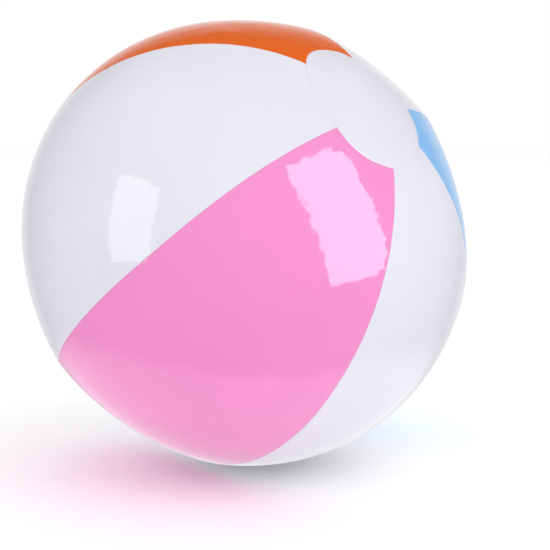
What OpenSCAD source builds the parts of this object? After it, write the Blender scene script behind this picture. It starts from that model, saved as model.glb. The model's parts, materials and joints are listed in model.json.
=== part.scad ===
// Inflatable beach ball: six welded vinyl panels, two round end caps and a push-in air valve.
// Millimetres. The origin is the centre of the ball, +Z is up as the ball is held,
// and the line through the two end caps leans from +Z towards +X.

/* [Ball] */
// Width across the middle when blown up
ball_d = 228; // [150:1:400]
// How much nearer the centre each pole is than the middle
pole_flat = 5; // [2:0.5:8]
// How far the arc of the side has its centre from the axis through the poles
side_inset = 10; // [9:0.5:20]
// Thickness of the vinyl film
film_t = 0.25; // [0.2:0.05:0.5]
// Width of the weld lip turned in along each panel's seam
lip_w = 3; // [2:0.5:5]
// Distance of a lip from the middle of its seam's weld
lip_gap = 0.02; // [0.01:0.01:0.05]
// Lean of the line through the end caps, from upright
lean = 53; // [0:1:90]
// Turn of the pink panel's middle about that line
pink_az = -50; // [-180:1:180]

/* [End caps] */
// Width of each round end cap
cap_d = 64; // [60:1:90]
// How far the plain cap is welded off the pole, as an angle about the skin's own arc
cap_askew = 4; // [0:0.5:5]
// Direction in which it is off, round the axis through the poles
askew_az = -145; // [-180:5:180]
// Distance from the edge of the valve's flange to the panels' tips under the cap
tip_gap = 5; // [2:0.5:7]

/* [Valve] */
// Width of the flange's ring, which is welded inside the valve's cap
flange_w = 5; // [3:0.5:6]
// Thickness of the flange
flange_t = 0.6; // [0.4:0.1:1.2]
// Room between the plug's hinge and the wall of the recess, which the open strap swings into
recess_gap = 2.5; // [2.2:0.1:3.5]
// Depth of the recess's soft skirt
skirt_deep = 6.5; // [5.5:0.5:9]
// Wall of the skirt
skirt_t = 0.4; // [0.3:0.1:0.8]
// Length of the stem
stem_len = 13; // [10:0.5:18]
// Wall of the stem around the plug
stem_wall = 1.65; // [1.2:0.05:2.2]
// How far the stem's mouth lies below the ball's surface when pushed in
mouth_sink = 1.9; // [1.7:0.1:3]

/* [Plug] */
// Width of the plug at the top of its taper
plug_d = 5.6; // [4.6:0.1:6.6]
// How much the plug's radius narrows for each millimetre of depth
plug_taper = 0.22; // [0.18:0.01:0.3]
// Length of the plug's nose below the taper
nose_len = 1.9; // [1:0.1:2.5]
// Thickness of the plug's head
head_t = 1.2; // [0.8:0.1:1.4]
// How far the head overhangs the stem all round
head_over = 0.5; // [0.2:0.1:0.8]
// Width of the strap that the plug hangs on
strap_w = 3.2; // [2:0.2:4]
// Thickness of the strap
strap_t = 0.6; // [0.4:0.1:0.8]
// Distance from the stem's wall to the strap's hinge
strap_reach = 2.5; // [2.3:0.1:3]
// Radius of the strap's round hinge bead
bead_r = 0.5; // [0.4:0.05:0.6]
// Length of the finger tab on the plug's head
tab_len = 2.2; // [1:0.1:3]

/* [Check flap] */
// How far the flap covers the stem's end beyond the bore
flap_over = 1.3; // [0.8:0.1:1.6]
// Thickness of the flap
flap_t = 0.4; // [0.3:0.05:0.6]
// Radius of the flap's hinge bead
flap_bead_r = 0.25; // [0.2:0.05:0.3]
// Distance from the flap's edge to its hinge
flap_tail = 0.4; // [0.3:0.05:0.6]

/* [Fits] */
// Gap between pieces of the valve that move on each other
fit_gap = 0.05; // [0.03:0.01:0.1]
// Share of the swinging room that the plug uses between its hinge and the stem's mouth
rise_use = 0.95; // [0.8:0.01:0.97]
// Share of the swinging room that the plug's taper uses below its hinge
taper_use = 0.98; // [0.8:0.01:0.99]

/* [Hidden] */
$fn = 96;

panel_count = 6;
panel_turn = 360 / panel_count;

// The ball's outline is a four-centre oval: a side arc and a flatter arc at each pole.
side_r = ball_d / 2 - side_inset;
pole_z = ball_d / 2 - pole_flat;
pole_r = (pole_z * pole_z + side_inset * side_inset - side_r * side_r) / (2 * (pole_z - side_r));
pole_drop = pole_r - pole_z;
join_dir = [side_inset, pole_drop] / (pole_r - side_r);
far = 2 * ball_d;

// Valve sizes, with Z outward and 0 at the pole of the ball's outline.
plug_r = plug_d / 2;
seat_r = plug_r + fit_gap;
stem_r = seat_r + stem_wall;
mouth_z = -mouth_sink;
stem_end_z = mouth_z - stem_len;
hinge_x = stem_r + strap_reach;
recess_r = hinge_x + bead_r + recess_gap;
flange_r = recess_r + flange_w;
tip_r = flange_r + tip_gap;
cap_r = cap_d / 2;

// The plug swings out of its seat without a pull, because no point of its taper
// comes further from the hinge than the seat's rim is.
swing = plug_taper / (1 + plug_taper * plug_taper);
hinge_z = mouth_z - rise_use * swing * (hinge_x - plug_r);
taper_len = taper_use * swing * (hinge_x + plug_r) + (mouth_z - hinge_z);
taper_end_r = plug_r - plug_taper * taper_len;
taper_end_z = mouth_z - taper_len;
nose_end_z = taper_end_z - nose_len;
taper_reach = norm([hinge_x + taper_end_r, taper_end_z - hinge_z]);
nose_end_r = sqrt(pow(taper_reach, 2) - pow(nose_end_z - hinge_z, 2)) - hinge_x - fit_gap;
bore_r = taper_end_r + fit_gap;
head_z = mouth_z + fit_gap;
head_r = stem_r + head_over;

// The lug stands this much wider than the strap, and holds the lower part of its bead.
lug_side = 0.4;
bead_cover = 0.3;

// The strap leaves the head over this width on each side of the stem's wall, and runs
// into the bead between these shares of its radius.
strap_root = 0.4;
bead_root = 0.6;
bead_crown = 0.9;

// The flap lies on the stem's inner end, and swings about the bead at its edge.
// Its tail and bead are this share of its width.
flap_share = 0.6;
flap_r = bore_r + flap_over;
flap_z = stem_end_z - fit_gap;
flap_hinge = [flap_r + flap_tail, 0, flap_z - flap_bead_r / 2];

// The panels in their order round the ball, and their colours.
pink = [0.96, 0.55, 0.79];
white = [0.93, 0.93, 0.96];
orange = [0.93, 0.42, 0.08];
blue = [0.50, 0.74, 0.94];
clear_pvc = [0.82, 0.88, 0.92];
skirt_pvc = [0.72, 0.80, 0.86];

// Part of the oval's outline near one pole, between two offsets from it.
module pole_band(outer, inner) {
    intersection() {
        translate([0, -pole_drop]) difference() {
            circle(pole_r + outer);
            circle(pole_r + inner);
        }
        polygon([[0, -pole_drop], [0, -pole_drop] + far * join_dir, [0, far]]);
    }
}

// The outline round the side, between two offsets from it.
module side_band(outer, inner) {
    intersection() {
        translate([side_inset, 0]) difference() {
            circle(side_r + outer);
            circle(side_r + inner);
        }
        polygon([
            [side_inset, 0],
            [side_inset + far * join_dir.x, -far * join_dir.y],
            [side_inset + far * join_dir.x, far * join_dir.y]
        ]);
    }
}

// One panel's section, from the opening at one tip to the opening at the other.
module panel_section(outer, inner) {
    intersection() {
        union() {
            pole_band(outer, inner);
            side_band(outer, inner);
            mirror([0, 1]) pole_band(outer, inner);
        }
        translate([tip_r, -far]) square([far, 2 * far]);
    }
}

// Weld lip: a flat strip that stands inward in the plane of a seam.
module lip() {
    translate([0, lip_gap + film_t, 0])
        rotate([90, 0, 0])
            linear_extrude(film_t) panel_section(-film_t / 2, -film_t - lip_w);
}

// A panel is a gore of the ball's skin with a weld lip along each of its two seams.
module panel(place) {
    tilt_ball() rotate(pink_az + (place - 0.5) * panel_turn) {
        rotate_extrude(angle = panel_turn) panel_section(0, -film_t);
        lip();
        rotate(panel_turn) mirror([0, 1, 0]) lip();
    }
}

// The six panels in their order round the ball.
module panel_pink() {
    color(pink) panel(0);
}

module panel_white_right() {
    color(white) panel(1);
}

module panel_blue() {
    color(blue) panel(2);
}

module panel_white_back() {
    color(white) panel(3);
}

module panel_orange() {
    color(orange) panel(4);
}

module panel_white_left() {
    color(white) panel(5);
}

// A round disc of film, welded over the panels' tips, with a hole of radius hole_r.
module end_cap(hole_r) {
    rotate_extrude()
        intersection() {
            pole_band(film_t, 0);
            translate([hole_r, 0]) square([cap_r - hole_r, far]);
        }
}

// Leans the ball's own frame, whose +Z runs to the plain cap.
module tilt_ball() {
    rotate([0, lean, 0]) children();
}

// Places what is made in the valve's frame, where +Z points out of the ball.
module at_valve() {
    tilt_ball() rotate([180, 0, 0]) children();
}

module lift_to_pole() {
    translate([0, 0, pole_z]) children();
}

// Slides a cap along the pole's arc, so that it stays on the skin.
module slide_on_skin(angle, az) {
    translate([0, 0, -pole_drop])
        rotate([angle * -sin(az), angle * cos(az), 0])
            translate([0, 0, pole_drop])
                children();
}

module cap_plain() {
    color(white) tilt_ball() slide_on_skin(cap_askew, askew_az) end_cap(0);
}

module cap_valve() {
    color(white) at_valve() end_cap(recess_r);
}

// Ring welded to the inner side of the valve's cap.
module valve_flange() {
    color(clear_pvc) at_valve()
        rotate_extrude()
            intersection() {
                pole_band(0, -flange_t);
                translate([recess_r, 0]) square([flange_r - recess_r, far]);
            }
}

// Soft cup between the flange and the stem, which turns inside out as the stem is pulled.
module valve_skirt() {
    top_z = -recess_r * recess_r / (2 * pole_r) - flange_t / 4;
    color(skirt_pvc) at_valve() lift_to_pole()
        difference() {
            translate([0, 0, -skirt_deep]) cylinder(r = recess_r, h = skirt_deep + top_z);
            translate([0, 0, -skirt_deep + skirt_t]) cylinder(r = recess_r - skirt_t, h = skirt_deep);
            translate([0, 0, -skirt_deep - 1]) cylinder(r = stem_r, h = skirt_deep + 2);
        }
}

// Tube that air is blown through, with a tapered seat for the plug and a lug for its strap.
module valve_stem() {
    lug_top = hinge_z - bead_cover * bead_r;
    lug_deep = 2 * bead_r;
    lug_w = strap_w + 2 * lug_side;
    color(clear_pvc) at_valve() lift_to_pole()
        difference() {
            union() {
                translate([0, 0, stem_end_z]) cylinder(r = stem_r, h = stem_len);
                translate([bore_r + stem_wall / 2, -lug_w / 2, lug_top - lug_deep])
                    cube([hinge_x - bore_r - stem_wall / 2, lug_w, lug_deep]);
            }
            translate([0, 0, stem_end_z - 1]) cylinder(r = bore_r, h = stem_len + 2);
            translate([0, 0, taper_end_z])
                cylinder(r1 = taper_end_r + fit_gap, r2 = seat_r, h = taper_len);
            translate([hinge_x, lug_w, hinge_z])
                rotate([90, 0, 0]) cylinder(r = bead_r + fit_gap, h = 2 * lug_w);
            translate([flap_hinge.x, flap_r, flap_hinge.z])
                rotate([90, 0, 0]) cylinder(r = flap_bead_r + fit_gap, h = 2 * flap_r);
        }
}

// Stopper on a strap: head, tapered seal, nose, finger tab, strap and hinge bead.
module valve_plug() {
    strap_start = stem_r - strap_root;
    color(clear_pvc) at_valve() lift_to_pole() {
        translate([0, 0, head_z]) cylinder(r = head_r, h = head_t);
        translate([0, 0, taper_end_z]) cylinder(r1 = taper_end_r, r2 = plug_r, h = taper_len);
        translate([0, 0, mouth_z]) cylinder(r = plug_r, h = fit_gap + head_t / 2);
        translate([0, 0, nose_end_z]) cylinder(r1 = nose_end_r, r2 = taper_end_r, h = nose_len);
        translate([-head_r - tab_len, -strap_w / 2, head_z])
            cube([head_r + tab_len - plug_r, strap_w, head_t * 2 / 3]);
        translate([0, strap_w / 2, 0])
            rotate([90, 0, 0])
                linear_extrude(strap_w) {
                    translate([hinge_x, hinge_z]) circle(bead_r);
                    polygon([
                        [strap_start, head_z],
                        [stem_r + strap_root, head_z],
                        [hinge_x - bead_root * bead_r, hinge_z],
                        [hinge_x, hinge_z + bead_crown * bead_r],
                        [stem_r + strap_t, head_z + strap_t],
                        [strap_start, head_z + strap_t]
                    ]);
                }
    }
}

// Thin disc that air pressure holds against the stem's inner end.
module check_flap() {
    tail_w = flap_share * 2 * flap_r;
    color(skirt_pvc) at_valve() lift_to_pole() {
        translate([0, 0, flap_z - flap_t]) cylinder(r = flap_r, h = flap_t);
        translate([0, -tail_w / 2, flap_z - flap_t]) cube([flap_hinge.x, tail_w, flap_t]);
        translate([flap_hinge.x, tail_w / 2, flap_hinge.z])
            rotate([90, 0, 0]) cylinder(r = flap_bead_r, h = tail_w);
    }
}

panel_pink();
panel_white_right();
panel_blue();
panel_white_back();
panel_orange();
panel_white_left();
cap_plain();
cap_valve();
valve_flange();
valve_skirt();
valve_stem();
valve_plug();
check_flap();
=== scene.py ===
# %% [markdown]
# # An inflatable beach ball
#
# The ball is a skin of thin, glossy PVC film: six long gores that run from one end to the
# other, welded edge to edge, and a round disc of film over the gores' tips at each end.
# One disc carries a push-in air valve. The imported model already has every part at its
# real size, so this script only has to give each part its look.
#
# Lengths are in metres. The file is read from top to bottom, one cell at a time.

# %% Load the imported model
import json
import math

import bmesh
import bpy
from mathutils import Matrix, Vector


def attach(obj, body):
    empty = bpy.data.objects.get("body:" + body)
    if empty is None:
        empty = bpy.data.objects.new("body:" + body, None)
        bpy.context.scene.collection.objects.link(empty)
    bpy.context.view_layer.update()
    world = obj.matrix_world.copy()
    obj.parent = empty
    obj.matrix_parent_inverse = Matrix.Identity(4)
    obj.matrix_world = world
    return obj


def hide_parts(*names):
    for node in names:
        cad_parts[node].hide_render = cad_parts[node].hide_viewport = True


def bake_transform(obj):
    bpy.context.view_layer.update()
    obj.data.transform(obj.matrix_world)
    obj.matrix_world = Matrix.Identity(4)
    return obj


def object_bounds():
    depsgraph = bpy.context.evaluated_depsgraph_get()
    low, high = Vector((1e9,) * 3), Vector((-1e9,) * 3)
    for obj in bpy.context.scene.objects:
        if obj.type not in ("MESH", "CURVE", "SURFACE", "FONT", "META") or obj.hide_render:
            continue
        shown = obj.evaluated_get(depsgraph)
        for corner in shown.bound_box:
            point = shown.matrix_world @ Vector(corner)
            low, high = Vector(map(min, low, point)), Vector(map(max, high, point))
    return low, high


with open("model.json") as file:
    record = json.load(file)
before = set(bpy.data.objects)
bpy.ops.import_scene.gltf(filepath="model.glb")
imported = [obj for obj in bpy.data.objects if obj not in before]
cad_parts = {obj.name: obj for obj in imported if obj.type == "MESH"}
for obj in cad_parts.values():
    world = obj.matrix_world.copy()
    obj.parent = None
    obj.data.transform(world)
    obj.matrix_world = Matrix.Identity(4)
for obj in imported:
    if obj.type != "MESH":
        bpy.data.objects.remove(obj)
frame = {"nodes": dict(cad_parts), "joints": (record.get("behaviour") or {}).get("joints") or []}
cad_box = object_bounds()
packed = frame["nodes"]
joints = {joint["name"]: joint for joint in frame["joints"]}
print("parts:", ", ".join(sorted(packed)))

# %% [markdown]
# ## Where the ball is
#
# The ball leans, so its own axis is not upright. The stem slides along that axis, which
# makes the slide's direction the simplest way to find it. Everything else is measured
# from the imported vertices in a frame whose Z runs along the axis, because a leaning
# round part has no useful corners in the upright frame.

# %% Measure the ball
millimetre = 0.001
film = 0.25 * millimetre
sixth = math.radians(60)

valve_out = Vector(joints["valve_pull"]["axis"]).normalized()
pole = -valve_out
side = Vector((0, 1, 0))
front = side.cross(pole).normalized()
ball_turn = Matrix((front, side, pole)).transposed()


def turned_points(node, turn, origin=Vector()):
    """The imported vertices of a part, seen in a turned frame."""
    return [turn.transposed() @ (v.co - origin) for v in packed[node].data.vertices]


def reach(node, turn, origin=Vector()):
    """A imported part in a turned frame: nearest and farthest from Z, then lowest and highest."""
    points = turned_points(node, turn, origin)
    radii = [math.hypot(p.x, p.y) for p in points]
    heights = [p.z for p in points]
    return min(radii), max(radii), min(heights), max(heights)


middle_r = (cad_box[1].y - cad_box[0].y) / 2
tip_r = reach("panel_pink", ball_turn)[0]
hole_r, cap_r, _, _ = reach("cap_valve", ball_turn)

pink_turns = [math.atan2(p.y, p.x) for p in turned_points("panel_pink", ball_turn)]
first_seam = (min(pink_turns) + max(pink_turns)) / 2 - sixth / 2
print(f"middle radius {middle_r:.4f}, cap {cap_r:.4f}, tips {tip_r:.4f}")
print(f"first seam at {math.degrees(first_seam):.2f} degrees")

# %% [markdown]
# The outline from pole to pole is a four-centre oval. The side is an arc whose centre
# stands a little away from the axis, and a flatter arc closes it at each pole. Two more
# sizes fix the rest, because the arcs must meet without a corner.

# %% Work out the oval
side_inset = 10 * millimetre
pole_flat = 5 * millimetre
pole_h = middle_r - pole_flat
side_r = middle_r - side_inset
pole_r = (pole_h**2 + side_inset**2 - side_r**2) / (2 * (pole_h - side_r))
pole_drop = pole_r - pole_h
join_x = side_inset + side_r * side_inset / (pole_r - side_r)
join_z = side_r * pole_drop / (pole_r - side_r)
join_latitude = math.atan2(join_z, join_x)


def oval_height(radius):
    """Height of the outline's pole arc at a distance from the axis."""
    return math.sqrt(pole_r**2 - radius**2) - pole_drop


tip_latitude = math.atan2(oval_height(tip_r), tip_r)
print(f"side arc {side_r:.4f}, pole arc {pole_r:.4f}")

# %% [markdown]
# ## Writing node trees as maths
#
# Both the shapes and the finishes below are node trees. A tree drawn node by node is hard
# to read, so one small class stands for a socket and turns Python's operators into Math
# nodes. Then `1 - mask` is a tree of its own, and any other node comes from one method.

# %% A socket that can be reckoned with
def pick(sockets, name):
    """A socket by its place, its identifier or its name."""
    if isinstance(name, int):
        return sockets[name]
    for socket in sockets:
        if socket.identifier == name:
            return socket
    return sockets[name]


class Wire:
    """One output socket of a node; arithmetic on it adds Math nodes."""

    def __init__(self, drawing, socket):
        self.drawing = drawing
        self.socket = socket

    def out(self, name):
        """Another output of the same node."""
        return Wire(self.drawing, pick(self.socket.node.outputs, name))

    def math(self, operation, *values):
        return self.drawing.math(operation, self, *values)

    def __add__(self, other):
        return self.math("ADD", other)

    def __sub__(self, other):
        return self.math("SUBTRACT", other)

    def __rsub__(self, other):
        return self.drawing.math("SUBTRACT", other, self)

    def __mul__(self, other):
        return self.math("MULTIPLY", other)

    def __truediv__(self, other):
        return self.math("DIVIDE", other)

    def __pow__(self, other):
        return self.math("POWER", other)

    def __lt__(self, other):
        return self.math("LESS_THAN", other)

    __radd__ = __add__


class Drawing:
    """Adds nodes to one node tree."""

    def __init__(self, tree):
        self.tree = tree

    def node(self, kind, settings=None, inputs=None, output=0):
        """Any node: its type, its settings, and the values or links of its sockets."""
        made = self.tree.nodes.new(kind)
        for name, value in (settings or {}).items():
            setattr(made, name, value)
        for name, value in (inputs or {}).items():
            socket = pick(made.inputs, name)
            if isinstance(value, Wire):
                self.tree.links.new(value.socket, socket)
            else:
                socket.default_value = value
        return Wire(self, pick(made.outputs, output)) if len(made.outputs) else None

    def math(self, operation, *values):
        return self.node("ShaderNodeMath", {"operation": operation}, dict(enumerate(values)))

    def smooth(self, value, low, high):
        """0 below low, 1 above high, and an S-shaped rise between them."""
        inputs = {"Value": value, "From Min": low, "From Max": high}
        return self.node("ShaderNodeMapRange", {"interpolation_type": "SMOOTHSTEP"}, inputs)

    def vector(self, x, y, z):
        return self.node("ShaderNodeCombineXYZ", {}, {"X": x, "Y": y, "Z": z})

    def noise(self, vector, scale, detail=2.0, roughness=0.5):
        inputs = {"Vector": vector, "Scale": scale, "Detail": detail, "Roughness": roughness}
        return self.node("ShaderNodeTexNoise", {}, inputs)


print("node maths ready")

# %% [markdown]
# ## A shape tree and its plain mesh
#
# Geometry Nodes suit a skin like this one, because every point of it follows one rule:
# a latitude and a turn about the axis give a place. A tree gets its sizes as named
# inputs, ends by making its result real and giving it a material, and is then frozen
# into a plain mesh, which is what the rest of the script handles.

# %% Make and freeze a shape tree
def new_shape_tree(name, sizes):
    """An empty geometry tree with named number inputs and a material input."""
    tree = bpy.data.node_groups.new(name, "GeometryNodeTree")
    tree.interface.new_socket("Geometry", in_out="OUTPUT", socket_type="NodeSocketGeometry")
    tree.interface.new_socket("Material", in_out="INPUT", socket_type="NodeSocketMaterial")
    for label, value in sizes.items():
        kind = "NodeSocketInt" if isinstance(value, int) else "NodeSocketFloat"
        tree.interface.new_socket(label, in_out="INPUT", socket_type=kind)
    drawing = Drawing(tree)
    group = drawing.node("NodeGroupInput")
    return drawing, {label: group.out(label) for label in ["Material", *sizes]}


def close_tree(drawing, geometry, material):
    """The last nodes of every shape tree."""
    real = drawing.node("GeometryNodeRealizeInstances", {}, {"Geometry": geometry})
    inputs = {"Geometry": real, "Material": material}
    painted = drawing.node("GeometryNodeSetMaterial", {}, inputs)
    drawing.node("NodeGroupOutput", {}, {"Geometry": painted})
    return drawing.tree


def flat_grid(drawing, width, columns, rows):
    """A square grid, and where each of its points lies."""
    inputs = {"Size X": width, "Size Y": width, "Vertices X": columns, "Vertices Y": rows}
    grid = drawing.node("GeometryNodeMeshGrid", {}, inputs)
    position = drawing.node("GeometryNodeInputPosition")
    return grid, drawing.node("ShaderNodeSeparateXYZ", {}, {0: position})


def store(drawing, geometry, name, value, kind="FLOAT"):
    """Keeps a value at every point of a shape, for its material to read."""
    settings = {"data_type": kind, "domain": "POINT"}
    inputs = {"Geometry": geometry, "Name": name, "Value": value}
    return drawing.node("GeometryNodeStoreNamedAttribute", settings, inputs)


def add_object(name, data):
    """A new object in the scene."""
    made = bpy.data.objects.new(name, data)
    bpy.context.scene.collection.objects.link(made)
    return made


def freeze(tree, name, values):
    """Runs a shape tree once and returns its result as a plain mesh."""
    carrier = add_object(name + "_carrier", bpy.data.meshes.new(name + "_empty"))
    modifier = carrier.modifiers.new("shape", "NODES")
    modifier.node_group = tree
    for item in tree.interface.items_tree:
        if item.in_out == "INPUT" and item.name in values:
            modifier[item.identifier] = values[item.name]
    depsgraph = bpy.context.evaluated_depsgraph_get()
    mesh = bpy.data.meshes.new_from_object(carrier.evaluated_get(depsgraph))
    mesh.name = name
    carrier.modifiers.remove(modifier)
    bpy.data.objects.remove(carrier)
    return mesh


def finish_piece(name, mesh, body, nodes):
    """Links a finished mesh as a piece on the body it rides on, and hides the imported parts it
    stands for.
    """
    mesh.shade_smooth()
    piece = add_object(name, mesh)
    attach(piece, body)
    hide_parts(*nodes)
    print(f"{name}: {len(mesh.vertices)} points, rides on {body}")
    return piece


# %% [markdown]
# ## The finish of the film
#
# Beach ball film is soft PVC, coloured through and calendered to a high gloss. What tells
# it from paint is how it bends a reflection: the film never comes off the rollers quite
# flat, and air pressure pulls it tight over faint lengthwise lines. So the colour hardly
# varies, the roughness carries a few dull smudges from handling, and the bump does most
# of the work.

# %% The vinyl material
def principled(drawing, inputs):
    """The shader and output of a material; plain numbers go straight on the shader."""
    shader = drawing.node("ShaderNodeBsdfPrincipled", {}, inputs)
    drawing.node("ShaderNodeOutputMaterial", {}, {"Surface": shader})


def new_material(name, colour):
    """An empty material tree; its plain colour shows in the solid view."""
    material = bpy.data.materials.new(name)
    material.use_nodes = True
    material.node_tree.nodes.clear()
    material.diffuse_color = colour
    return material, Drawing(material.node_tree)


def mix_colour(drawing, share, first, second):
    inputs = {"Factor_Float": share, "A_Color": first, "B_Color": second}
    return drawing.node("ShaderNodeMix", {"data_type": "RGBA"}, inputs, "Result_Color")


def shade_of(colour, factor):
    """The same colour, lighter or darker."""
    return (*[min(channel * factor, 1) for channel in colour[:3]], 1)


# A noise's scale says how many of its swells fit in a metre.
pigment_scale = 14
smudge_scale = 38
patch_scale = 45
ripple_scale = 95
line_scale = 330
grain_scale = 1500
line_stretch = 0.16
weld_near = 0.2 * millimetre
weld_far = 1.1 * millimetre


def vinyl(name, colour, weld_colour):
    """Glossy PVC film with handling smudges, faint lines and a slightly uneven skin."""
    material, draw = new_material(name, colour)
    place = draw.node("ShaderNodeTexCoord", {}, {}, "Object")
    sheet = draw.node("ShaderNodeAttribute", {"attribute_name": "sheet"}, {}, "Vector")
    from_seam = draw.node("ShaderNodeAttribute", {"attribute_name": "from_seam"}, {}, "Fac")

    # Colour: pigment that is never quite even, and another shade where films are welded.
    cloud = draw.smooth(draw.noise(place, pigment_scale, 3), 0.3, 0.7)
    body = mix_colour(draw, cloud, shade_of(colour, 0.975), shade_of(colour, 1.02))
    weld = 1 - draw.smooth(from_seam, weld_near, weld_far)
    tint = mix_colour(draw, weld * 0.8, body, weld_colour)

    # Roughness: a high gloss with smudges.
    smudge = draw.smooth(draw.noise(place, smudge_scale, 4, 0.6), 0.5, 0.75)
    gloss = 0.055 + smudge * 0.05

    # Bump: rolling lines along the sheet, which come in patches and fray the edge of a
    # mirrored lamp, and a faint unevenness over all of it.
    stretched = draw.node("ShaderNodeVectorMath", {"operation": "MULTIPLY"},
                          {0: sheet, 1: (1.0, line_stretch, 1.0)})
    patch = draw.smooth(draw.noise(place, patch_scale, 2), 0.42, 0.62)
    lines = (draw.noise(stretched, line_scale, 1) * 2 - 1).math("ABSOLUTE") * (0.3 + patch)
    ripple = draw.noise(place, ripple_scale, 2, 0.45)
    grain = draw.noise(place, grain_scale, 2)
    height = lines * 6.5 + ripple * 4.5 + grain * 0.04
    bump = draw.node("ShaderNodeBump", {},
                     {"Strength": 0.35, "Distance": 0.1 * millimetre, "Height": height})
    principled(draw, {
        "Base Color": tint, "Roughness": gloss, "Normal": bump,
        "IOR": 1.53, "Specular IOR Level": 0.5,
    })
    return material


white_film = vinyl("white_film", (0.75, 0.745, 0.82, 1), (0.78, 0.77, 0.84, 1))
pink_film = vinyl("pink_film", (0.85, 0.28, 0.58, 1), (0.83, 0.26, 0.55, 1))
orange_film = vinyl("orange_film", (0.78, 0.125, 0.003, 1), (0.70, 0.10, 0.003, 1))
blue_film = vinyl("blue_film", (0.255, 0.53, 0.90, 1), (0.21, 0.47, 0.84, 1))
print("film materials ready")

# %% [markdown]
# ## The rule of the skin
#
# One rule places every point of the gores and of the end discs. It takes a latitude and a
# turn about the axis, and gives the film's distance from the centre: the oval outline,
# less a shallow hollow between the seams, less the small tucks beside them.
# A gore is cut from flat film, so air pushes its middle out less than the strong seams,
# and the seams stand up as six low ridges.

# %% Rule: from a latitude and a turn to a place
skin_sizes = {
    "Side Radius": side_r,
    "Side Inset": side_inset,
    "Pole Radius": pole_r,
    "Pole Drop": pole_drop,
    "Join Latitude": join_latitude,
    "First Seam": first_seam,
    "Hollow Middle": 0.5 * millimetre,
    "Hollow Shoulder": 1.2 * millimetre,
    "Tuck Depth": 0.16 * millimetre,
    "Tuck Reach": 5 * millimetre,
    "Wave": 0.22 * millimetre,
}


def oval(draw, size, latitude):
    """Distance of the outline from the centre, at a latitude."""
    level = latitude.math("ABSOLUTE")
    cosine = level.math("COSINE")
    sine = level.math("SINE")
    side_rise = (size["Side Radius"] ** 2 - (size["Side Inset"] * sine) ** 2).math("SQRT")
    side_arc = size["Side Inset"] * cosine + side_rise
    pole_rise = (size["Pole Radius"] ** 2 - (size["Pole Drop"] * cosine) ** 2).math("SQRT")
    pole_arc = pole_rise - size["Pole Drop"] * sine
    on_side = level < size["Join Latitude"]
    return pole_arc + (side_arc - pole_arc) * on_side


def direction(draw, size, latitude, turn):
    """Unit vector to a place, from its latitude and its turn from the first seam."""
    angle = size["First Seam"] + turn
    flat = latitude.math("COSINE")
    x = flat * angle.math("COSINE")
    y = flat * angle.math("SINE")
    return draw.vector(x, y, latitude.math("SINE"))


def scaled(draw, vector, length):
    return draw.node("ShaderNodeVectorMath", {"operation": "SCALE"},
                     {"Vector": vector, "Scale": length})


taut_r = 18 * millimetre
slack_r = 48 * millimetre
tuck_length = 7 * millimetre
patch_length = 30 * millimetre
wave_scale = 24


def skin(draw, size, latitude, turn, wander=0.0):
    """The film's surface: its direction, its distance from the centre and from a seam.
    Turn is where the gore's plan puts a point, and wander is how far off that it lies."""
    heading = direction(draw, size, latitude, turn + wander)
    outline = oval(draw, size, latitude)
    from_axis = outline * latitude.math("COSINE")
    nearest = turn.math("WRAP", sixth / 2, -sixth / 2).math("ABSOLUTE") * from_axis

    # The hollow between two seams: shallow round the middle, deeper at the shoulders, and
    # gone near the poles, where the end discs hold the film taut.
    shoulder = (latitude * 2).math("SINE") ** 2
    depth = size["Hollow Middle"] + size["Hollow Shoulder"] * shoulder
    fade = draw.smooth(from_axis, taut_r, slack_r)
    hollow = (turn * 3).math("SINE").math("ABSOLUTE") * depth * fade

    # Tucks run across a seam, in patches, and die out a few millimetres from it. The
    # seam's number moves it to its own stretch of the noise, so no two seams are alike.
    seam_number = (turn / sixth).math("ROUND").math("MODULO", 6)
    along = latitude * outline
    crease_at = draw.vector(along / tuck_length, seam_number * 7.3, nearest * 40)
    crease = 1 - (draw.noise(crease_at, 1.0, 1) * 2 - 1).math("ABSOLUTE") * 2.2
    patch_at = draw.vector(along / patch_length, seam_number * 3.1, 0.0)
    patch = draw.smooth(draw.noise(patch_at, 1.0, 1), 0.42, 0.62)
    near = (nearest / size["Tuck Reach"] * -1).math("EXPONENT")
    tuck = crease.math("MAXIMUM", 0) ** 2 * near * (0.25 + patch) * size["Tuck Depth"] * fade

    # The film is never quite taut.
    spot = scaled(draw, heading, outline)
    wave = (draw.noise(spot, wave_scale, 1) - 0.5) * size["Wave"]
    return heading, outline - hollow - tuck + wave, nearest


print("skin rule ready")

# %% [markdown]
# ## The six gores
#
# A gore could be modelled by hand with a Lattice, or cut out of a sphere, but then its
# edges would only be lines on a ball. Here each gore is a flat grid that the rule bends
# into place. Its last columns turn inward on a small radius and run down the seam, as the
# weld lip does, so two neighbours leave a fine groove between them, as on the real ball.
# The columns crowd together towards the seams, where the film does something.
#
# The seams are not evenly spaced either. They are welded by hand on a flat jig, so each
# wanders a degree or two off its place, and more where it runs under the plain end disc.

# %% Tree of a gore
gore_sizes = {
    **skin_sizes,
    "Left Wander": 0.0,
    "Right Wander": 0.0,
    "Left Tip Wander": 0.0,
    "Right Tip Wander": 0.0,
    "Columns": 127,
    "Rows": 271,
    "Place": 0.0,
    "Tip Latitude": tip_latitude,
    "Bend Radius": 0.15 * millimetre,
    "Half Gap": 0.012 * millimetre,
    "Lip": 2.6 * millimetre,
}
skin_share = 0.89
bend_share = 0.6
crowding = 1.6
wander_from = math.radians(15)
wander_full = math.radians(68)


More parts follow.
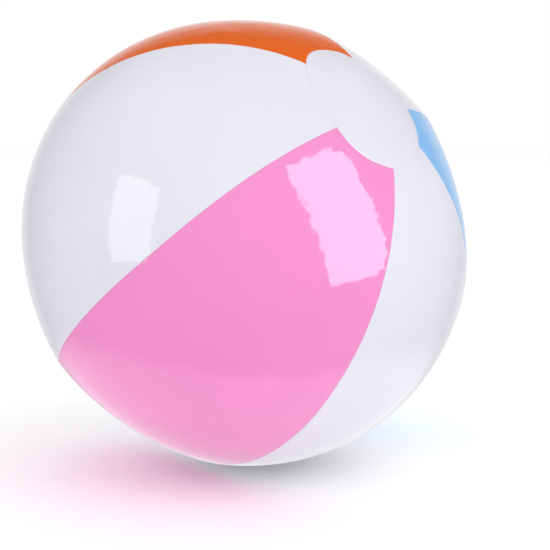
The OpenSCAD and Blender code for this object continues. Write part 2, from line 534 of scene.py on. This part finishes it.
def gore_tree():
    draw, size = new_shape_tree("gore", gore_sizes)
    grid, place = flat_grid(draw, 2.0, size["Columns"], size["Rows"])
    across = place.out("X")
    hand = across.math("SIGN")
    step = across.math("ABSOLUTE")
    latitude = place.out("Y") * size["Tip Latitude"]

    # Share of the way from the gore's middle to the seam, then into the bend and the lip.
    on_skin = (step / skin_share).math("MINIMUM", 1)
    in_fold = (step / (1 - skin_share) - skin_share / (1 - skin_share)).math("MAXIMUM", 0)
    share = 1 - (1 - on_skin) ** crowding
    bend = (in_fold / bend_share).math("MINIMUM", 1) * (math.pi / 2)
    down = (in_fold / (1 - bend_share) - bend_share / (1 - bend_share)).math("MAXIMUM", 0)

    from_axis = oval(draw, size, latitude) * latitude.math("COSINE")
    margin = (size["Bend Radius"] + size["Half Gap"]) / from_axis
    sideways = size["Bend Radius"] * bend.math("SINE") / from_axis
    half_turn = (sixth / 2 - margin) * share + sideways
    turn = (size["Place"] + 0.5) * sixth + hand * half_turn
    sink = size["Bend Radius"] * (1 - bend.math("COSINE")) + down * size["Lip"]

    # Each seam's own error, shared out over the width of the gore.
    to_right = 0.5 + hand * half_turn / sixth
    rise = draw.smooth(latitude, wander_from, wander_full)
    left = size["Left Wander"] + size["Left Tip Wander"] * rise
    right = size["Right Wander"] + size["Right Tip Wander"] * rise
    wander = left + (right - left) * to_right

    heading, radius, nearest = skin(draw, size, latitude, turn, wander)
    spot = scaled(draw, heading, radius - sink)
    moved = draw.node("GeometryNodeSetPosition", {}, {"Geometry": grid, "Position": spot})

    # The material follows the sheet by these: distance from a seam, and place on the sheet.
    flat = draw.vector(hand * half_turn * from_axis, latitude * middle_r, size["Place"])
    seam = store(draw, moved, "from_seam", nearest)
    sheet = store(draw, seam, "sheet", flat, "FLOAT_VECTOR")
    return close_tree(draw, sheet, size["Material"])


gore = gore_tree()
print("gore tree:", len(gore.nodes), "nodes")

# %% [markdown]
# The same tree makes all six gores: only its place round the ball and its film change.
# A Solidify modifier then gives the sheet the film's thickness, inward, so the outer face
# keeps the size it was given.

# %% The gores
gores = [
    ("pink_gore", "panel_pink", pink_film, "pink_vinyl"),
    ("white_gore_right", "panel_white_right", white_film, "white_vinyl"),
    ("blue_gore", "panel_blue", blue_film, "blue_vinyl"),
    ("white_gore_back", "panel_white_back", white_film, "white_vinyl"),
    ("orange_gore", "panel_orange", orange_film, "orange_vinyl"),
    ("white_gore_left", "panel_white_left", white_film, "white_vinyl"),
]


def thicken(piece, thickness):
    solid = piece.modifiers.new("film", "SOLIDIFY")
    solid.thickness = thickness
    solid.offset = -1


# Degrees off the even spacing, for each gore's left seam: all along it, and at its tip.
seam_wander = [2.6, 0.1, 0.7, -1.3, 1.3, 1.3]
tip_wander = [-2.1, 2.1, 0.0, -2.1, 2.0, -4.1]

for place, (name, node, film_material, slot) in enumerate(gores):
    after = (place + 1) % len(gores)
    mesh = freeze(gore, name, {
        **gore_sizes, "Place": float(place), "Material": film_material,
        "Left Wander": math.radians(seam_wander[place]),
        "Right Wander": math.radians(seam_wander[after]),
        "Left Tip Wander": math.radians(tip_wander[place]),
        "Right Tip Wander": math.radians(tip_wander[after]),
    })
    mesh.transform(ball_turn.to_4x4())
    piece = finish_piece(name, mesh, "ball", [node])
    thicken(piece, film)

# %% [markdown]
# ## The end discs
#
# Each end disc is a second film, heat-sealed over the gores' tips. It is thin enough to
# follow the skin beneath, so it uses the same rule, lifted by its own thickness.
# Its edge is drawn outward a little between the seams, where the film beneath is softest,
# and the plain disc is pulled out of round as the ball fills. That disc is also welded a
# little off the pole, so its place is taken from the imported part.
# The heat seal leaves a low, ribbed ring near the edge, and a second ring where the
# valve's flange is welded underneath.

# %% Tree of an end disc
disc_sizes = {
    **skin_sizes,
    "Columns": 361,
    "Rings": 64,
    "Hand": 1.0,
    "Edge": cap_r,
    "Hole": 0.0,
    "Scallop": 0.6 * millimetre,
    "Stretch": 0.0,
    "Stretch Turn": 0.0,
    "Shift X": 0.0,
    "Shift Y": 0.0,
    "Lift": film,
    "Seal Depth": 0.015 * millimetre,
    "Seal Width": 3.2 * millimetre,
    "Flange Inner": 0.0,
    "Flange Outer": 0.0,
}


seal_ribs = 150
seal_soft = 0.6 * millimetre
seal_margin = 0.5 * millimetre
thinned_w = 5.0 * millimetre
seam_clear = 0.4 * millimetre
merge_gap = 0.004 * millimetre
sheet_number = 9.0


def band(draw, value, low, high, soft):
    """1 between low and high, with soft shoulders."""
    return draw.smooth(value, low, low + soft) * (1 - draw.smooth(value, high - soft, high))


def disc_tree():
    draw, size = new_shape_tree("end_disc", disc_sizes)
    grid, place = flat_grid(draw, 1.0, size["Columns"], size["Rings"])
    round_turn = place.out("X") * (2 * math.pi) * size["Hand"]
    share = 0.5 - place.out("Y")

    # Where the point lies on the disc, and then its turn and distance from the ball's axis.
    angle = round_turn + size["First Seam"]
    scallop = (round_turn * 3).math("SINE").math("ABSOLUTE") * size["Scallop"]
    stretch = ((angle - size["Stretch Turn"]) * 2).math("COSINE") * size["Stretch"]
    edge = size["Edge"] - size["Scallop"] / 2 + scallop + stretch
    on_disc = size["Hole"] + (edge - size["Hole"]) * share
    x = on_disc * angle.math("COSINE") + size["Shift X"] * share
    y = on_disc * angle.math("SINE") + size["Shift Y"] * share
    from_axis = (x**2 + y**2).math("SQRT")
    turn = y.math("ARCTAN2", x) - size["First Seam"]
    height = (size["Pole Radius"] ** 2 - from_axis**2).math("SQRT") - size["Pole Drop"]
    latitude = height.math("ARCTAN2", from_axis)

    # Heat seals press a ribbed ring into the film.
    from_edge = edge - on_disc
    ribs = 0.6 + (round_turn * seal_ribs).math("SINE") * 0.4
    outer = band(draw, from_edge, seal_margin, size["Seal Width"], seal_soft)
    inner = band(draw, on_disc, size["Flange Inner"], size["Flange Outer"], seal_soft)
    sunk = (outer + inner) * ribs * size["Seal Depth"]

    # The seal also squeezes the disc's edge thin, so it hardly stands proud of the gores.
    lift = size["Lift"] * (0.4 + draw.smooth(from_edge, 0.0, thinned_w) * 0.6)
    heading, radius, _ = skin(draw, size, latitude * size["Hand"], turn)
    spot = scaled(draw, heading, radius + lift - sunk)
    moved = draw.node("GeometryNodeSetPosition", {}, {"Geometry": grid, "Position": spot})
    seam = store(draw, moved, "from_seam", from_edge + seam_clear)
    sheet = store(draw, seam, "sheet", draw.vector(x, y, sheet_number), "FLOAT_VECTOR")
    merged = draw.node("GeometryNodeMergeByDistance", {},
                       {"Geometry": sheet, "Distance": merge_gap})
    return close_tree(draw, merged, size["Material"])


end_disc = disc_tree()
print("disc tree:", len(end_disc.nodes), "nodes")

# %% The two end discs
cap_points = turned_points("cap_plain", ball_turn)
shift_x = (min(p.x for p in cap_points) + max(p.x for p in cap_points)) / 2
shift_y = (min(p.y for p in cap_points) + max(p.y for p in cap_points)) / 2
print(f"plain disc off the pole by {shift_x:.4f}, {shift_y:.4f}")
flange_outer = reach("valve_flange", ball_turn)[1]
flange_inner = hole_r + 0.6 * millimetre


def round_edge(piece, width, segments=2):
    """Rounds the sharp rim of a sheet or a moulding."""
    bevel = piece.modifiers.new("rounding", "BEVEL")
    bevel.width = width
    bevel.segments = segments
    bevel.limit_method = "ANGLE"
    bevel.angle_limit = math.radians(50)


discs = [
    ("end_disc_plain", "cap_plain", {
        "Shift X": shift_x, "Shift Y": shift_y,
        "Stretch": 4.0 * millimetre, "Stretch Turn": math.radians(-4),
    }),
    ("end_disc_valve", "cap_valve", {
        "Hand": -1.0, "Hole": hole_r, "Rings": 48,
        "Flange Inner": flange_inner, "Flange Outer": flange_outer,
    }),
]
for name, node, own_sizes in discs:
    mesh = freeze(end_disc, name, {**disc_sizes, "Material": white_film, **own_sizes})
    mesh.transform(ball_turn.to_4x4())
    piece = finish_piece(name, mesh, "ball", [node])
    thicken(piece, film * 0.9)
    round_edge(piece, film * 0.35)

# %% [markdown]
# ## The air valve
#
# The valve is moulded in soft, milky PVC: a flange welded under the disc, a thin skirt
# that rolls inside out, a stem to blow through, a stopper on a strap, and a flap that
# holds the air back. They are turned parts, so each is an outline spun about the valve's
# axis. Moulded edges are never sharp, so a helper first rounds the outline's corners.
#
# The valve has its own frame: Z points out of the ball, 0 is at the skin's pole, and the
# stopper's hinge lies towards +X.

# %% The valve's frame
valve_turn = Matrix((front, -side, valve_out)).transposed()
valve_place = Matrix.Translation(valve_out * pole_h) @ valve_turn.to_4x4()
valve_origin = valve_place.translation

plug_hinge = valve_place.inverted() @ Vector(joints["plug_open"]["pos_m"])
flap_hinge = valve_place.inverted() @ Vector(joints["flap_open"]["pos_m"])
_, _, stem_low, stem_high = reach("valve_stem", valve_turn, valve_origin)
_, _, plug_low, plug_high = reach("valve_plug", valve_turn, valve_origin)
_, skirt_r, skirt_low, _ = reach("valve_skirt", valve_turn, valve_origin)
print("plug hinge", [round(v / millimetre, 2) for v in plug_hinge])
print("stem from", round(stem_low / millimetre, 2), "to", round(stem_high / millimetre, 2))

# %% Outlines with round corners
tiny = 1e-7
nearly_straight = math.radians(85)


def soften(points, radius, closed=True, steps=4):
    """Replaces each corner of an outline by an arc, smaller where its sides are short."""
    result = []
    count = len(points)
    for index, corner in enumerate(points):
        corner = Vector(corner)
        if not closed and index in (0, count - 1):
            result.append(tuple(corner))
            continue
        before = Vector(points[index - 1]) - corner
        after = Vector(points[(index + 1) % count]) - corner
        half = before.angle(after) / 2
        room = 0.45 * min(before.length, after.length)
        cut = min(radius / math.tan(half), room)
        if half > nearly_straight or cut < tiny:
            result.append(tuple(corner))
            continue
        start = corner + before.normalized() * cut
        end = corner + after.normalized() * cut
        for step in range(steps + 1):
            share = step / steps
            blend = (1 - share) ** 2 * start + 2 * share * (1 - share) * corner + share**2 * end
            result.append(tuple(blend))
    return result


def spin(bm, outline, segments=96, closed=True):
    """Turns an outline of (radius, height) points about Z; points on the axis close it."""
    rings = []
    for radius, height in outline:
        if radius < tiny:
            rings.append([bm.verts.new((0, 0, height))])
            continue
        turns = [2 * math.pi * s / segments for s in range(segments)]
        rings.append([bm.verts.new((radius * math.cos(t), radius * math.sin(t), height))
                      for t in turns])
    pairs = list(zip(rings, rings[1:]))
    if closed:
        pairs.append((rings[-1], rings[0]))
    for lower, upper in pairs:
        for s in range(segments):
            t = (s + 1) % segments
            corners = [lower[s % len(lower)], lower[t % len(lower)],
                       upper[t % len(upper)], upper[s % len(upper)]]
            corners = list(dict.fromkeys(corners))
            if len(corners) > 2:
                bm.faces.new(corners)


def slab(bm, outline, to_point, thickness, rounding):
    """A flat outline given thickness both ways, with its rim rounded in three steps."""
    rims = []
    steps = 3
    half = thickness / 2
    centre = sum((Vector(p) for p in outline), Vector((0, 0))) / len(outline)
    lower = [(-half + rounding * (1 - math.sin(a)), rounding * (1 - math.cos(a)))
             for a in [math.pi / 2 * (1 - s / steps) for s in range(steps + 1)]]
    upper = [(-h, i) for h, i in reversed(lower)]
    for height, inset in lower + upper:
        ring = []
        for point in outline:
            away = Vector(point) - centre
            moved = centre + away * (1 - inset / max(away.length, tiny))
            ring.append(bm.verts.new(to_point(moved.x, moved.y, height)))
        rims.append(ring)
    count = len(outline)
    for low, high in zip(rims, rims[1:]):
        for s in range(count):
            t = (s + 1) % count
            bm.faces.new([low[s], low[t], high[t], high[s]])
    bm.faces.new(rims[0][::-1])
    bm.faces.new(rims[-1])


def oblong(low_x, high_x, half_y):
    """A rectangle's corners."""
    return [(low_x, -half_y), (high_x, -half_y), (high_x, half_y), (low_x, half_y)]


def bead_outline(hinge, radius, steps):
    """A circle about a hinge, seen from its side."""
    turns = [2 * math.pi * s / steps for s in range(steps)]
    return [(hinge.x + radius * math.cos(t), hinge.z + radius * math.sin(t)) for t in turns]


def seen_from_side(x, z, height):
    """Stands a side view up in the valve's frame, for a slab that lies across it."""
    return x, -height, z


def valve_mesh(name, bm, material):
    """Closes a valve mesh, turns its faces outward and puts it in the valve's place."""
    bmesh.ops.remove_doubles(bm, verts=bm.verts, dist=tiny)
    bmesh.ops.recalc_face_normals(bm, faces=bm.faces)
    mesh = bpy.data.meshes.new(name)
    bm.to_mesh(mesh)
    bm.free()
    mesh.transform(valve_place)
    mesh.materials.append(material)
    return mesh


print("valve helpers ready")

# %% [markdown]
# Soft PVC without pigment is milky and lets light through. It collects dust and finger
# marks, so its roughness varies more than the film's, and the mould leaves a fine texture.

# %% The valve materials
milk_scale = 160
mark_scale = 230
texture_scale = 600
fine_scale = 2400


def soft_pvc(name, colour, clearness):
    """Unpigmented moulded PVC; clearness is the share of light that passes straight in."""
    material, draw = new_material(name, colour)
    place = draw.node("ShaderNodeTexCoord", {}, {}, "Object")
    cloud = draw.noise(place, milk_scale, 3)
    tint = mix_colour(draw, cloud, shade_of(colour, 0.93), shade_of(colour, 1.05))
    marks = draw.smooth(draw.noise(place, mark_scale, 3), 0.35, 0.8)
    texture = draw.noise(place, fine_scale, 1) * 0.2 + draw.noise(place, texture_scale, 1)
    bump = draw.node("ShaderNodeBump", {},
                     {"Strength": 0.25, "Distance": 0.05 * millimetre, "Height": texture})
    principled(draw, {
        "Base Color": tint, "Roughness": 0.29 + marks * 0.12, "Normal": bump, "IOR": 1.52,
        "Transmission Weight": clearness, "Subsurface Weight": 0.25,
        "Subsurface Radius": (1.0, 1.0, 1.0), "Subsurface Scale": 1.5 * millimetre,
    })
    return material


milky_pvc = soft_pvc("milky_pvc", (0.80, 0.84, 0.88, 1), 0.12)
thin_pvc = soft_pvc("thin_pvc", (0.77, 0.83, 0.87, 1), 0.22)
print("valve materials ready")

# %% [markdown]
# ### Flange and skirt
#
# The flange is a flat ring under the disc, and carries the weld. The skirt hangs from its
# inner edge as a slightly tapered cup with a rolled fold in its floor, because soft PVC
# needs a slack fold to turn inside out. The skirt crosses the slide joint, but it is one
# fixed mesh at rest, carried by neither the ball nor the stem. Its wall is thin, which
# leaves the stopper room to swing past.

# %% Flange
flange_t = 0.6 * millimetre
weld_gap = 0.02 * millimetre


def skin_sag(radius):
    """How far the skin lies below the pole at a distance from the axis."""
    return pole_h - oval_height(radius)


flange = bmesh.new()
inner, outer = hole_r - 0.1 * millimetre, flange_outer
ring = [
    (inner, -skin_sag(inner) - weld_gap),
    (outer, -skin_sag(outer) - weld_gap),
    (outer, -skin_sag(outer) - flange_t * 0.6),
    (outer - 1.5 * millimetre, -skin_sag(outer) - flange_t),
    (inner, -skin_sag(inner) - flange_t),
]
spin(flange, soften(ring, 0.2 * millimetre), 144)
mesh = valve_mesh("valve_flange_ring", flange, milky_pvc)
finish_piece("valve_flange_ring", mesh, "ball", ["valve_flange"])

# %% Skirt
skirt_t = 0.25 * millimetre
stem_r = 4.5 * millimetre


def wall(path, thickness):
    """A closed outline round a path, with half the thickness on each side."""
    left, right = [], []
    for index, point in enumerate(path):
        before = Vector(path[max(index - 1, 0)])
        after = Vector(path[min(index + 1, len(path) - 1)])
        along = (after - before).normalized()
        off = Vector((-along.y, along.x)) * (thickness / 2)
        left.append(tuple(Vector(point) + off))
        right.append(tuple(Vector(point) - off))
    return left + right[::-1]


middle = skirt_t / 2
floor_z = skirt_low + middle
wall_r = skirt_r - middle
route = [
    (wall_r, -flange_t * 0.7),
    (wall_r - 0.1 * millimetre, -2.0 * millimetre),
    (wall_r - 0.9 * millimetre, floor_z + 0.5 * millimetre),
    (wall_r - 2.0 * millimetre, floor_z),
    (wall_r - 3.0 * millimetre, floor_z + 0.9 * millimetre),
    (wall_r - 4.1 * millimetre, floor_z + 0.1 * millimetre),
    (stem_r - 0.1 * millimetre, floor_z),
]
route = soften(route, 0.8 * millimetre, closed=False, steps=6)
skirt = bmesh.new()
spin(skirt, wall(route, skirt_t), 144)
mesh = valve_mesh("valve_skirt_cup", skirt, thin_pvc)
mesh.shade_smooth()
piece = add_object("valve_skirt_cup", mesh)
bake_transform(piece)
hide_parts("valve_skirt")
print("valve_skirt_cup:", len(mesh.vertices), "points, between ball and stem")

# %% [markdown]
# ### Stem
#
# The stem is a tube with a rounded lip to blow on, a tapered seat that the stopper seals
# in, and two low collars: one near its inner end, and one just behind the skirt's floor.
# A small lug beside its mouth holds the strap's hinge.

# %% Stem
seat_r = 2.85 * millimetre
bore_r = 2.22 * millimetre
seat_end = -4.75 * millimetre
bead_r = 0.5 * millimetre
strap_w = 3.2 * millimetre

tube = [
    (stem_r, stem_low), (stem_r, stem_high), (seat_r, stem_high),
    (bore_r, seat_end), (bore_r, stem_low),
]
stem = bmesh.new()
spin(stem, soften(tube, 0.3 * millimetre), 96)

collar_h = 0.9 * millimetre
collar_root = stem_r - 0.3 * millimetre
collars = [
    (stem_low + collar_h, stem_r + 0.25 * millimetre),
    (skirt_low - 1.4 * millimetre, stem_r + 0.2 * millimetre),
]
for low, collar_r in collars:
    high = low + collar_h
    collar = [(collar_root, low), (collar_r, low), (collar_r, high), (collar_root, high)]
    spin(stem, soften(collar, 0.2 * millimetre), 96)

lug_top = plug_hinge.z - 0.3 * bead_r
lug_t = 2 * bead_r
lug_x0, lug_x1 = stem_r - 0.8 * millimetre, plug_hinge.x
lug_y = strap_w / 2 + 0.4 * millimetre
lug = soften(oblong(lug_x0, lug_x1, lug_y), 0.5 * millimetre)
slab(stem, lug, lambda x, y, h: (x, y, lug_top - lug_t / 2 + h), lug_t, 0.15 * millimetre)
mesh = valve_mesh("blow_stem", stem, milky_pvc)
finish_piece("blow_stem", mesh, "stem", ["valve_stem"])

# %% [markdown]
# ### Stopper
#
# The stopper's taper seals in the stem. Its head has a shallow dish, and a finger tab
# with grip ribs to open it by. The strap runs to a round bead, on which it swings, and the
# head's rim is chamfered so that it clears the skirt on its way.

# %% Stopper
plug_r = 2.8 * millimetre
head_r = 5.0 * millimetre
head_low = stem_high + 0.05 * millimetre
taper_end_r = 2.17 * millimetre
nose_r = 1.49 * millimetre
dish_z = plug_high - 0.3 * millimetre

stopper_side = [
    (0, plug_low), (nose_r, plug_low), (taper_end_r, seat_end), (plug_r, stem_high),
    (plug_r, head_low), (head_r, head_low), (head_r, plug_high - 0.5 * millimetre),
    (head_r - 0.85 * millimetre, plug_high), (head_r - 1.3 * millimetre, plug_high),
    (head_r - 1.8 * millimetre, dish_z), (0, dish_z),
]
plug = bmesh.new()
spin(plug, soften(stopper_side, 0.25 * millimetre, closed=False), 96, closed=False)

tab_t = 0.8 * millimetre
tab_z = head_low + tab_t / 2
tab_end = -7.2 * millimetre
tab_x = -head_r + 1.0 * millimetre
tab = soften(oblong(tab_end, tab_x, strap_w / 2), 1.2 * millimetre)
slab(plug, tab, lambda x, y, h: (x, y, tab_z + h), tab_t, 0.2 * millimetre)

rib_t = 0.3 * millimetre
rib_half_w = 0.14 * millimetre
rib_half_l = 1.0 * millimetre
for rib in range(3):
    rib_x = tab_end + (0.55 + 0.6 * rib) * millimetre
    bar = soften(oblong(rib_x - rib_half_w, rib_x + rib_half_w, rib_half_l), 0.12 * millimetre)
    slab(plug, bar, lambda x, y, h: (x, y, tab_z + tab_t / 2 + h), rib_t, 0.08 * millimetre)

strap_top = head_low + 0.6 * millimetre
strap_side = [
    (stem_r - 0.4 * millimetre, head_low), (stem_r + 0.4 * millimetre, head_low),
    (plug_hinge.x - 0.3 * millimetre, plug_hinge.z),
    (plug_hinge.x, plug_hinge.z + 0.45 * millimetre),
    (stem_r + 0.6 * millimetre, strap_top), (stem_r - 0.4 * millimetre, strap_top),
]
strap_side = soften(strap_side, 0.15 * millimetre)
slab(plug, strap_side, seen_from_side, strap_w, 0.12 * millimetre)
slab(plug, bead_outline(plug_hinge, bead_r, 24), seen_from_side, strap_w, 0.12 * millimetre)
mesh = valve_mesh("stopper", plug, milky_pvc)
finish_piece("stopper", mesh, "plug", ["valve_plug"])

# %% [markdown]
# ### Check flap
#
# The flap is a disc of thin, flexible film that lies on the stem's inner end. The air in
# the ball presses it shut, so none escapes while the stopper is being pushed home.

# %% Check flap
flap_r = 3.52 * millimetre
flap_t = 0.4 * millimetre
flap_top = stem_low - 0.05 * millimetre
flap = bmesh.new()
flap_low = flap_top - flap_t
thin_low = flap_top - 0.6 * flap_t
flap_side = [
    (0, flap_top), (flap_r, flap_top), (flap_r, flap_low), (flap_r - 1.0 * millimetre, flap_low),
    (flap_r - 1.3 * millimetre, thin_low), (0, thin_low),
]
spin(flap, soften(flap_side, 0.12 * millimetre, closed=False), 72, closed=False)

tail_y = 0.6 * flap_r
tail_t = 0.9 * flap_t
tail_z = flap_top - flap_t / 2
tail = soften(oblong(tail_y, flap_hinge.x, tail_y), 0.3 * millimetre)
slab(flap, tail, lambda x, y, h: (x, y, tail_z + h), tail_t, 0.08 * millimetre)
bead = bead_outline(flap_hinge, 0.25 * millimetre, 16)
slab(flap, bead, seen_from_side, 2 * tail_y, 0.06 * millimetre)
mesh = valve_mesh("air_flap", flap, thin_pvc)
finish_piece("air_flap", mesh, "flap", ["check_flap"])

# %% [markdown]
# ## The studio
#
# Glossy film shows its surroundings more than its own colour, so the lights are placed by
# where they should mirror in it. Two soft boxes stand beside the camera, and the film only
# mirrors them. A wide lamp above them does the opposite: it shades the film and isn't
# mirrored. Directions are given as seen from the camera: to its right, up, and towards it.

# %% Camera
camera_turn = math.radians(44.2)
camera_rise = math.radians(5.3)
camera_far = 0.677
aim_right = 0.0147
aim_down = 0.0170
back = Vector((math.sin(camera_turn) * math.cos(camera_rise),
               -math.cos(camera_turn) * math.cos(camera_rise),
               math.sin(camera_rise)))
right = Vector((math.cos(camera_turn), math.sin(camera_turn), 0))
up = back.cross(right)

camera_data = bpy.data.cameras.new("camera")
camera_data.sensor_width = 36
camera_data.lens = 87.4
camera = add_object("camera", camera_data)
camera.location = back * camera_far
aim = right * aim_right - up * aim_down
camera.rotation_mode = "QUATERNION"
look = (aim - camera.location).normalized()
camera.rotation_quaternion = look.to_track_quat("-Z", "Y")
camera_data.clip_start = 0.01
bpy.context.scene.camera = camera

# %% Lights
def from_camera(to_right, upward, toward):
    return right * to_right + up * upward + back * toward


def soft_box(name, heading, far, width, height, radiance, tilt):
    """A rectangle of light that faces the ball and that only mirrors see; tilt turns it
    about its own heading."""
    data = bpy.data.lights.new(name, "AREA")
    data.shape = "RECTANGLE"
    data.size = width
    data.size_y = height
    data.energy = radiance * math.pi * width * height
    box = add_object(name, data)
    heading = heading.normalized()
    box.location = heading * far
    box.rotation_mode = "QUATERNION"
    turned = heading.to_track_quat("Z", "Y") @ Matrix.Rotation(tilt, 3, "Z").to_quaternion()
    box.rotation_quaternion = turned
    box.visible_diffuse = False
    return box


soft_box("right_box", from_camera(0.733, 0.206, 0.648), 1.4, 0.69, 1.17, 5.8, math.radians(8))
soft_box("left_box", from_camera(-0.785, 0.206, 0.58), 1.4, 0.56, 0.92, 2.1, math.radians(3))
key = soft_box("key_light", from_camera(0.45, 0.75, 0.5), 2.5, 2.0, 2.0, 0.85, 0)
key.visible_diffuse = True
key.visible_glossy = False

# %% [markdown]
# The rest of the light comes evenly from a white surround. The film mirrors it as a
# studio that is mostly dark, with a white backdrop behind the ball and a white table
# below it.

# %% Surround
backdrop_way = from_camera(0, 0, -1)
table_way = from_camera(0, -0.9, -0.437)
studio_dark = 0.14
backdrop_bright = 0.75
table_bright = 0.95


def facing(drawing, heading, way):
    """How nearly a heading points one way: 1 straight along it, 0 square to it."""
    return drawing.node("ShaderNodeVectorMath", {"operation": "DOT_PRODUCT"},
                        {0: heading, 1: tuple(way)}, "Value")


world = bpy.data.worlds.new("studio")
bpy.context.scene.world = world
world.use_nodes = True
world.node_tree.nodes.clear()
draw = Drawing(world.node_tree)
mirrored = draw.node("ShaderNodeLightPath", {}, {}, "Is Glossy Ray")
heading = draw.node("ShaderNodeTexCoord", {}, {}, "Generated")
backdrop = draw.smooth(facing(draw, heading, backdrop_way), 0.68, 1.0)
table = draw.smooth(facing(draw, heading, table_way), 0.52, 0.72)
mirror = studio_dark + (backdrop * backdrop_bright).math("MAXIMUM", table * table_bright)
strength = 1 + (mirror - 1) * mirrored
surround = draw.node("ShaderNodeBackground", {}, {"Color": (1, 1, 1, 1), "Strength": strength})
draw.node("ShaderNodeOutputWorld", {}, {"Surface": surround})
bpy.context.scene.view_settings.view_transform = "Standard"

# %% [markdown]
# The ball rests on white paper. The film doesn't mirror it, since the table in the surround
# already stands for it there.

# %% Floor
thin_paper = (0.95, 0.95, 0.95, 1)
thick_paper = (0.98, 0.98, 0.98, 1)
floor_material, draw = new_material("floor_paper", (0.9, 0.9, 0.9, 1))
place = draw.node("ShaderNodeTexCoord", {}, {}, "Object")
fibres = draw.noise(place, 300, 4)
principled(draw, {
    "Base Color": mix_colour(draw, fibres, thin_paper, thick_paper),
    "Roughness": 0.7 + fibres * 0.1,
    "Emission Color": (1, 1, 1, 1), "Emission Strength": 0.1,
})
paper_z = cad_box[0].z - 0.3 * millimetre
paper = bmesh.new()
bmesh.ops.create_grid(paper, x_segments=8, y_segments=8, size=6.0)
floor_mesh = bpy.data.meshes.new("floor")
paper.to_mesh(floor_mesh)
paper.free()
floor_mesh.transform(Matrix.Translation((0, 0, paper_z)))
floor_mesh.materials.append(floor_material)
floor = add_object("floor", floor_mesh)
floor.visible_glossy = False
